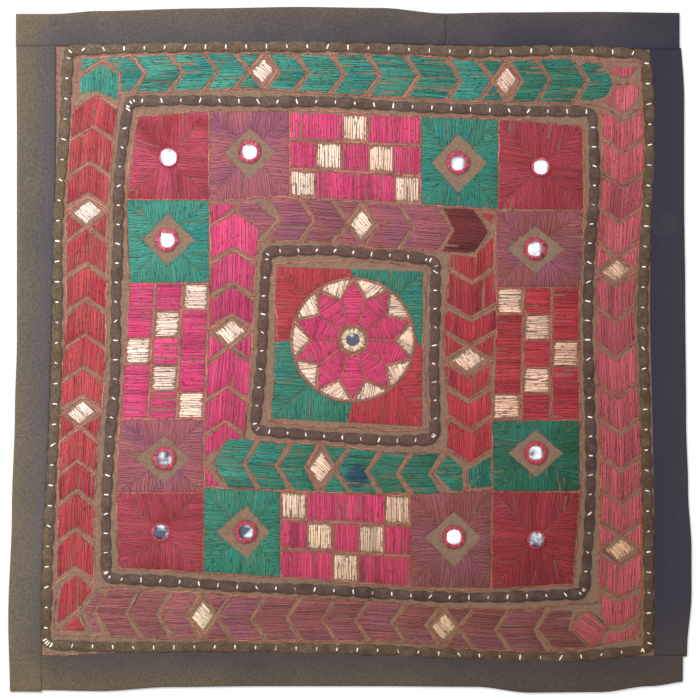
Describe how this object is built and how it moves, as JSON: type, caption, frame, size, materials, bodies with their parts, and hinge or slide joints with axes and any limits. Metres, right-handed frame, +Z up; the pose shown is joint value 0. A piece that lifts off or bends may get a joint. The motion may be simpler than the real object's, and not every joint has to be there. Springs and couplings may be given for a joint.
{
  "type": "mirror-work embroidered square mat",
  "caption": "Flat square cotton mat with satin-stitch fields, padded cord rings, small sewn mirrors and a pieced twill border.",
  "frame": {"origin": "middle of the flat underside", "axes": "+Z up out of the worked face, +Y towards the edge with the seamed strip, +X to the right"},
  "size_m": [0.41, 0.4116, 0.0033],
  "materials": {
    "embroidery": "cotton floss satin stitch, soft sheen",
    "ground_cloth": "plain-woven cotton, matt",
    "border_twill": "faded cotton twill, matt",
    "cord_yarn": "soft padded cotton yarn, matt",
    "mirror_glass": "hand-cut silvered glass, slightly tarnished"
  },
  "bodies": {
    "root": {"ground_panel": "embroidery", "border_top_left": "border_twill", "border_top_right": "border_twill", "border_right": "border_twill", "border_bottom": "border_twill", "border_left": "border_twill", "cord_outer": "cord_yarn", "cord_middle": "cord_yarn", "cord_inner": "cord_yarn", "mirror_corner_top_left": "mirror_glass", "mirror_corner_top_right": "mirror_glass", "mirror_corner_bottom_right": "mirror_glass", "mirror_corner_bottom_left": "mirror_glass", "mirror_diamond_top_left": "mirror_glass", "mirror_diamond_top_right": "mirror_glass", "mirror_diamond_right_upper": "mirror_glass", "mirror_diamond_right_lower": "mirror_glass", "mirror_diamond_bottom_right": "mirror_glass", "mirror_diamond_bottom_left": "mirror_glass", "mirror_diamond_left_lower": "mirror_glass", "mirror_diamond_left_upper": "mirror_glass", "mirror_rosette": "mirror_glass"}
  },
  "joints": []
}
